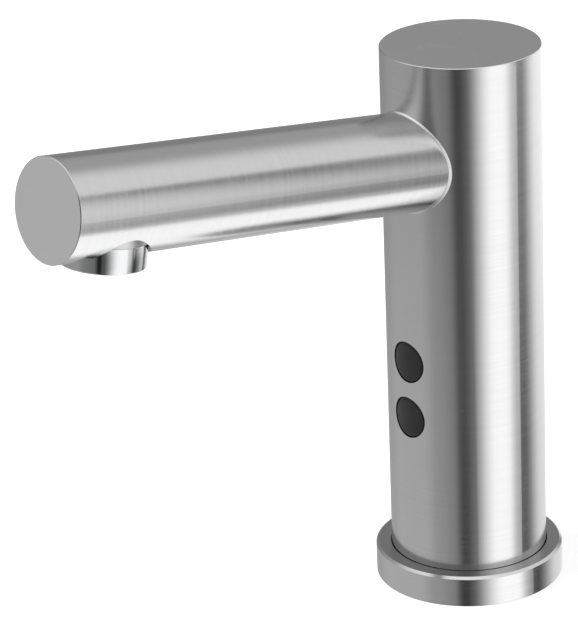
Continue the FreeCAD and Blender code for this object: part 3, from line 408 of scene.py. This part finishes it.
def add_weld():
    """The weld bead. At angle a round the spout, a line at radius r along it meets the body at
    s = (root(R^2 - (r cos a)^2) + r sin a sin rise) / cos rise. The section runs from the spout,
    a leg off the body, in a low arch to the body, a leg off the spout, and back inside the metal.
    The arch swells and sinks in small waves round the spout, as a stitched bead does."""
    leg, sink, waves, count = 0.5, 0.2, 150, 792
    around = angles(count)[:, None]
    across = np.linspace(0, 1, 11)
    wave = 1 + 0.16 * np.cos(waves * around + 1.4 * np.sin(9 * around))
    arch = across * (1 - across) * wave
    off_spout = np.concatenate([(arch + across ** 2) * leg,
                                np.broadcast_to([leg, -sink, -sink], (count, 3))], axis=1)
    off_body = np.concatenate([(arch + (1 - across) ** 2) * leg,
                               np.broadcast_to([-sink, -sink, leg], (count, 3))], axis=1)
    radius = SPOUT_RADIUS + off_spout
    along = (np.sqrt(BODY_RADIUS ** 2 - (radius * np.cos(around)) ** 2)
             + radius * np.sin(around) * math.sin(SPOUT_RISE)) / math.cos(SPOUT_RISE)
    grid = np.stack([radius * np.cos(around), radius * np.sin(around), along + off_body], axis=-1)
    add_piece("weld_ripple", [placed_in(ON_SPOUT, grid)], "weld_steel", "tap_body",
              ["weld_bead"], looped=True, crease=60)


def add_windows():
    """Each window is rings of radius s, bent to the body: at angle a a point has x = s cos a and
    height s sin a, and lies root(rho^2 - x^2) in front of the body's axis. rho steps from the
    face over a rolled edge to the collar and to the back."""
    face, collar_front, back = 25.3, 23.05, 21.55
    middle, flat, edge, collar = 0.4, 5.97, 0.8, 8.3
    roll = np.linspace(0, math.pi / 2, 7)[1:]
    radii = np.concatenate([np.linspace(middle, flat, 13), flat + edge * np.sin(roll),
                            [flat + edge, collar, collar, middle]])
    depths = np.concatenate([np.full(13, face), face - edge + edge * np.cos(roll),
                             [collar_front, collar_front, back, back]])
    disc = round_grid(radii, depths, 96)
    forward = np.sqrt(disc[..., 2] ** 2 - disc[..., 0] ** 2)
    for name, node, height in (("upper_lens", "upper_window", UPPER_WINDOW_HEIGHT),
                               ("lower_lens", "lower_window", LOWER_WINDOW_HEIGHT)):
        grid = np.stack([disc[..., 0], disc[..., 1] + height, forward], axis=-1)
        add_piece(name, [placed_in(AT_SENSOR, grid)], "window", "tap_body", [node],
                  crease=50)


def add_aerator_ring():
    """The chrome ring: its section goes out over rounded edges and up the screw thread, whose
    radius falls and rises with height less angle, one turn for each millimetre."""
    outer, lip_radius, bore, neck, crest, top_radius = 13.0, 10.0, 10.65, 11.5, 11.95, 11.4
    foot, lip, shoulder, top = -18.3, -17.3, -10.3, -5.4
    bevel, low_round, high_round, thread_depth, count = 0.2, 0.5, 0.4, 0.5, 144
    turn = np.linspace(0, math.pi / 2, 6)
    low_edge = [(outer - low_round * (1 - math.sin(a)), foot + low_round * (1 - math.cos(a)))
                for a in turn]
    high_edge = [(outer - high_round * (1 - math.cos(a)),
                  shoulder - high_round * (1 - math.sin(a))) for a in turn]
    thread = [(crest, height) for height in np.linspace(shoulder + bevel, top - bevel, 46)]
    inside = [(top_radius, top), (bore, top), (bore, lip)]
    section = np.array([(lip_radius, lip), (lip_radius, foot + bevel), (lip_radius + bevel, foot)]
                       + low_edge + high_edge + [(neck, shoulder)] + thread + inside)
    radii = np.repeat(section[:, :1], count, axis=1)
    rows = slice(-len(thread) - len(inside), -len(inside))
    wave = np.cos(2 * math.pi * section[rows, 1:] - angles(count))
    radii[rows] -= thread_depth / 2 * (1 - wave)
    grid = round_grid(radii, section[:, 1], count)
    add_piece("threaded_ring", [placed_in(AT_OUTLET, grid)], "chrome", "aerator_ring",
              ["aerator_housing"], looped=True, crease=40)


def add_spring(name, node, place, ring, wire, low, high, turns):
    """Round wire wound at radius ring. Its height rises by just over one wire in the first and
    last turn, and evenly between them."""
    turn = np.linspace(0, turns, turns * 26 + 1)
    rise, end_rise = high - low - wire, wire * 1.03
    height = np.interp(turn, [0, 1, turns - 1, turns], [0, end_rise, rise - end_rise, rise])
    spoke = np.stack([np.cos(2 * math.pi * turn), np.sin(2 * math.pi * turn), turn * 0], axis=1)
    path = spoke * ring + np.array([place[0], place[1], low + wire / 2])
    path[:, 2] += height
    spring = add_piece(name, [wire_grid(path, spoke, wire / 2, 10)], "spring_steel", "tap_body",
                       [node], crease=60)
    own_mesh(spring)


def screw_grid(head, shank, seat, thread, length, socket, pitch=0.5, sunk=False):
    """A screw that points down from Z = 0. From the middle of its hexagon socket the rings go up
    its flats and out over the head, whose underside is flat, or a cone where it is sunk. They go
    down to the thread, whose radius waves with height plus angle, and to the tip. A hexagon's
    radius is its half width over cos of the angle from a flat."""
    count, steps, groove, tip, plain_end = 24, 5, 0.12, 0.35, 0.3
    around = angles(count)
    flats = (socket / 2) / np.cos((around + math.pi / 6) % (math.pi / 3) - math.pi / 6)
    socket_floor, bevel = -socket * 0.62, 0.12
    edge = 0.1 if sunk else 0.15
    underside = [] if sunk else [(head, -seat)]
    profile = [(head - edge, 0), (head, -edge)] + underside
    profile += [(shank, -seat), (shank, -thread + pitch / steps)]
    rings = [(flats * 0.5, socket_floor), (flats, socket_floor), (flats, -bevel),
             (flats + bevel, 0)]
    rings += [(np.full(count, radius), height) for radius, height in profile]
    rings += [(shank - groove + groove * np.cos(2 * math.pi * row / pitch - around), row)
              for row in np.arange(-thread, -length + plain_end, -pitch / steps)]
    rings += [(np.full(count, shank - tip), -length)]
    radii, heights = zip(*rings)
    return round_grid(np.array(radii), np.array(heights), count)


def add_screws():
    """The sets of screws: each screw's grid is turned to its way in and moved to its place."""
    def add_set(name, grids, node):
        add_piece(name, grids, "screw_steel", "tap_body", [node])

    foot_height, below_flush = 7.0, 0.05
    screw = screw_grid(2.6, 1.5, seat=1.1, thread=1.3, length=4.9, socket=2.0, sunk=True)
    screw = screw[..., [1, 2, 0]] + np.array([0, BODY_RADIUS - below_flush, foot_height])
    spins = [np.array([[math.cos(turn), math.sin(turn), 0],
                       [-math.sin(turn), math.cos(turn), 0], [0, 0, 1]]) for turn in angles(3)]
    add_set("foot_screws", [screw @ spin for spin in spins], "body_screws")

    bonnet_offset, bonnet_top = 9.5984, 52.05
    screw = screw_grid(2.75, 1.5, seat=3.0, thread=20.0, length=33.0, socket=2.5)
    screw = screw + np.array([*VALVE_PLACE, bonnet_top])
    add_set("bonnet_screws", [screw + np.array([right * bonnet_offset, back * bonnet_offset, 0])
                              for right in (-1, 1) for back in (-1, 1)], "valve_screws")

    cover_side, cover_back, cover_heights = 8.6, -6.7, (54.5, 86.8)
    screw = screw_grid(1.9, 1.0, seat=1.2, thread=3.0, length=8.0, socket=1.6, pitch=0.4)
    screw = screw[..., [1, 2, 0]] + np.array([0, cover_back, 0])
    add_set("sensor_screws", [screw + np.array([right * cover_side, 0, height])
                              for right in (-1, 1) for height in cover_heights], "cover_screws")


def add_winding():
    """The coil: a drum whose outside is ridged by its wire. Its radius falls from each ridge by
    half a wire times 1 - |cos(pi height / wire - angle / 2)|."""
    wire, outer, inner, low, high = 0.5, 10.4, 6.1, 53.75, 74.25
    step, margin, count = 0.3, 0.05, 72
    heights = np.linspace(low + margin, high - margin, 206)
    wave = np.abs(np.cos(math.pi * heights[:, None] / wire - angles(count) / 2))
    ends = np.repeat([[inner], [outer - step]], count, axis=1)
    radii = np.concatenate([ends, outer - wire / 2 * (1 - wave), ends[::-1]])
    levels = np.concatenate([[low, low], heights, [high, high]])
    add_piece("wound_coil", [round_grid(radii, levels, count, VALVE_PLACE)], "copper", "tap_body",
              ["coil_winding"], looped=True, crease=70)


def add_woven_screen():
    """The aerator's screen: a rim, and two sets of wires that weave. A wire's height waves as
    cos(pi x / pitch), and the next wire's, and the crossing ones', wave the other way."""
    middle, pitch, reach, wire, wave = -16.1, 0.95, 8.75, 0.17, 0.19
    wires_each_side, points = 9, 44
    shells = []
    for number in range(-wires_each_side, wires_each_side + 1):
        offset = number * pitch
        half = math.sqrt(reach ** 2 - offset ** 2)
        run = np.linspace(-half, half, points)
        across = np.full(points, offset)
        for crossing, (right, back) in enumerate([(run, across), (across, run)]):
            sign = (-1) ** (number + crossing)
            height = middle + wave * sign * np.cos(math.pi * run / pitch)
            path = np.stack([right, back, height], axis=1)
            shells.append(wire_grid(path, np.tile([0.0, 0, 1], (points, 1)), wire, 6))
    add_piece("woven_wires", [placed_in(AT_OUTLET, shell) for shell in shells], "spring_steel",
              "aerator_core", ["aerator_screen"], crease=60)

    inner, outer, low, high, bevel_out, bevel_up = 8.5, 9.28, -16.65, -15.55, 0.08, 0.15
    radii = [inner, outer - bevel_out, outer, outer, outer - bevel_out, inner]
    heights = [low, low, low + bevel_up, high - bevel_up, high, high]
    band = round_grid(radii, heights, 96)
    add_piece("screen_band", [placed_in(AT_OUTLET, band)], "inner_steel", "aerator_core",
              looped=True)


# Studio ----------------------------------------------------------------------------------------

WALLS = {"far": 1.12, "left": 0.5, "left_front": 0.33, "back": 0.33, "upper": 1.08,
         "near": 0.14, "screen": 1.76, "side": 1.12, "strip": 0.1, "right": 1.5, "dark": 0.03,
         "ceiling": 1.3, "floor": 1.7, "under": 0.6, "matt": 0.7}


def studio_walls():
    """The world: white to the camera, even and pale to matt things, and to glossy things a
    white room whose walls and strips are set by bearing and climb, both in degrees. A bearing
    is nought towards the camera and rises to its right. A climb is nought at the horizon."""
    world = bpy.data.worlds.new("studio")
    world.use_nodes = True
    bpy.context.scene.world = world
    sheet = Sheet(world.node_tree)
    way = sheet.node("ShaderNodeTexCoord")
    parts = [sheet.node("ShaderNodeSeparateXYZ", {}, {0: way}, axis) for axis in range(3)]
    view = math.radians(VIEW_BEARING)
    ahead = parts[0] * math.cos(view) + parts[1] * math.sin(view)
    aside = parts[1] * math.cos(view) - parts[0] * math.sin(view)
    bearing = sheet.maths("ARCTAN2", aside, ahead) * math.degrees(1)
    climb = sheet.maths("ARCSINE", parts[2]) * math.degrees(1)
    under_eaves = sheet.ease(climb, 46, 28)
    low = sheet.ease(climb, -17, -26)
    lowest = sheet.ease(climb, -23, -27)
    high = (1.0 - low) * sheet.ease(climb, 0, -10)

    def paint(level, mask, under):
        return under + mask * (level - under)

    room = sheet.ease(climb, 40, 66, WALLS["far"], WALLS["ceiling"])

    # The grey wall on the left, darker towards the camera, and the grey wall at the back.
    left = sheet.ease(bearing, -64, -44, WALLS["left"], WALLS["left_front"])
    left = (left + low * 0.2 - lowest * 0.02) * sheet.ease(bearing, -150, -118, 0.8, 1.0)
    left = left * sheet.ease(bearing, -44, -14, 1.0, 0.75)
    room = paint(left, sheet.window(bearing, -190, -10, 5) * under_eaves, room)
    room = paint(WALLS["back"], sheet.ease(sheet.maths("ABSOLUTE", bearing), 124, 150)
                 * sheet.ease(climb, -14, 4) * under_eaves, room)

    # The wall on the right: its upper part, and its lower part with a dark start.
    room = paint(sheet.ease(bearing, 112, 152, WALLS["upper"], WALLS["upper"] * 0.5),
                 sheet.ease(climb, 20, 26) * sheet.ease(climb, 62, 46)
                 * sheet.ease(bearing, 84, 96), room)
    right = sheet.ease(bearing + high * 9, 92, 136, WALLS["strip"], WALLS["right"])
    room = paint(right * (1.0 - low * 0.25), sheet.window(bearing, 91, 190, 2)
                 * sheet.ease(climb, 4, -12), room)

    # The bright screen to the right of the camera, and the side panel beyond it.
    ramp = sheet.ease(bearing - high * 3, 2, 43, WALLS["near"], WALLS["screen"])
    room = paint(ramp, sheet.window(bearing, -1, 70, 7) * under_eaves, room)
    room = paint(sheet.ease(climb, -36, -16, WALLS["side"] * 0.6, WALLS["side"]),
                 sheet.window(bearing, 72, 87, 5) * sheet.window(climb, -41, 30, 4), room)

    # The dark strip beyond the panel, with a softer edge lower down, and the one by the camera.
    sharp = sheet.ease(bearing, 82, 88)
    soft = sheet.ease(bearing, 75, 91)
    edge = sharp + (soft - sharp) * sheet.ease(climb, -8, -18)
    room = paint(WALLS["strip"], edge * sheet.ease(climb, 26, 20)
                 * sheet.ease(bearing + high * 5, 97, 91) * sheet.ease(climb, -38, -30), room)
    room = paint(WALLS["dark"], sheet.window(bearing, -14, 3, 5) * under_eaves
                 * (1.0 - low * 0.22 + lowest * 0.22), room)

    # The floor on the right.
    room = paint(sheet.ease(bearing, 142, 174, WALLS["floor"], WALLS["under"]),
                 sheet.ease(climb, -40, -43) * sheet.ease(bearing, 48, 72), room)

    gloss = sheet.maths("MAXIMUM", sheet.node("ShaderNodeLightPath", output=3),
                        sheet.node("ShaderNodeLightPath", output=6))
    seen = sheet.node("ShaderNodeLightPath", output=0)
    level = paint(room, gloss, WALLS["matt"])
    level = paint(1.0, seen, level)
    shader = sheet.node("ShaderNodeBackground", {}, {"Strength": level})
    sheet.node("ShaderNodeOutputWorld", {}, {"Surface": shader})


def add_lamp(name, place, size, power):
    """A soft square lamp aimed at the middle of the tap; metal shows the walls instead."""
    lamp = bpy.data.objects.new(name, bpy.data.lights.new(name, "AREA"))
    bpy.context.scene.collection.objects.link(lamp)
    lamp.data.size = size
    lamp.data.energy = power
    lamp.location = place
    aim = Vector((0, -0.05, 0.09)) - lamp.location
    lamp.rotation_euler = aim.to_track_quat("-Z", "Y").to_euler()
    lamp.visible_glossy = False


def add_floor():
    """A plain pale floor, clear from below. Metal shows the white room, not the floor."""
    reach, drop = 3, 0.0002
    mesh = bpy.data.meshes.new("floor")
    corners = [(-reach, -reach, -drop), (reach, -reach, -drop),
               (reach, reach, -drop), (-reach, reach, -drop)]
    mesh.from_pydata(corners, [], [(0, 1, 2, 3)])
    floor = bpy.data.objects.new("floor", mesh)
    bpy.context.scene.collection.objects.link(floor)
    floor.visible_glossy = False
    finish = Finish("floor")
    seen = finish.node("ShaderNodeLightPath", output=0)
    matt = finish.node("ShaderNodeBsdfDiffuse", {}, {"Color": tone(0.86)})
    glow = finish.node("ShaderNodeEmission", {}, {"Color": tone(1.0), "Strength": seen * 0.35})
    both = finish.node("ShaderNodeAddShader", {}, {0: matt, 1: glow})
    clear = finish.node("ShaderNodeBsdfTransparent")
    beneath = finish.node("ShaderNodeNewGeometry", output=6)
    one_way = finish.node("ShaderNodeMixShader", {}, {0: beneath, 1: both, 2: clear})
    finish.node("ShaderNodeOutputMaterial", {}, {"Surface": one_way})
    mesh.materials.append(finish.material)


def add_camera():
    camera = bpy.data.objects.new("camera", bpy.data.cameras.new("camera"))
    bpy.context.scene.collection.objects.link(camera)
    camera.data.lens = LENS
    camera.data.clip_start = 0.05
    turn = Euler([math.radians(angle) for angle in EYE_TURN]).to_matrix().to_4x4()
    camera.matrix_world = Matrix.Translation(EYE) @ turn
    bpy.context.scene.camera = camera


dress_nodes()
add_weld()
add_windows()
add_aerator_ring()
add_spring("round_plunger_spring", "plunger_spring", VALVE_PLACE, ring=2.0, wire=0.5,
           low=55.15, high=66.1, turns=7)
add_spring("round_check_spring", "check_spring", INLET_PLACE, ring=2.5, wire=0.4,
           low=14.75, high=19.65, turns=6)
add_screws()
add_winding()
add_woven_screen()
studio_walls()
add_floor()
add_lamp("key", place=(-0.6, -1.2, 1.5), size=1.0, power=26)
add_lamp("fill", place=(1.2, 0.5, 1.0), size=1.0, power=10)
add_camera()
bpy.context.scene.view_settings.view_transform = "Standard"
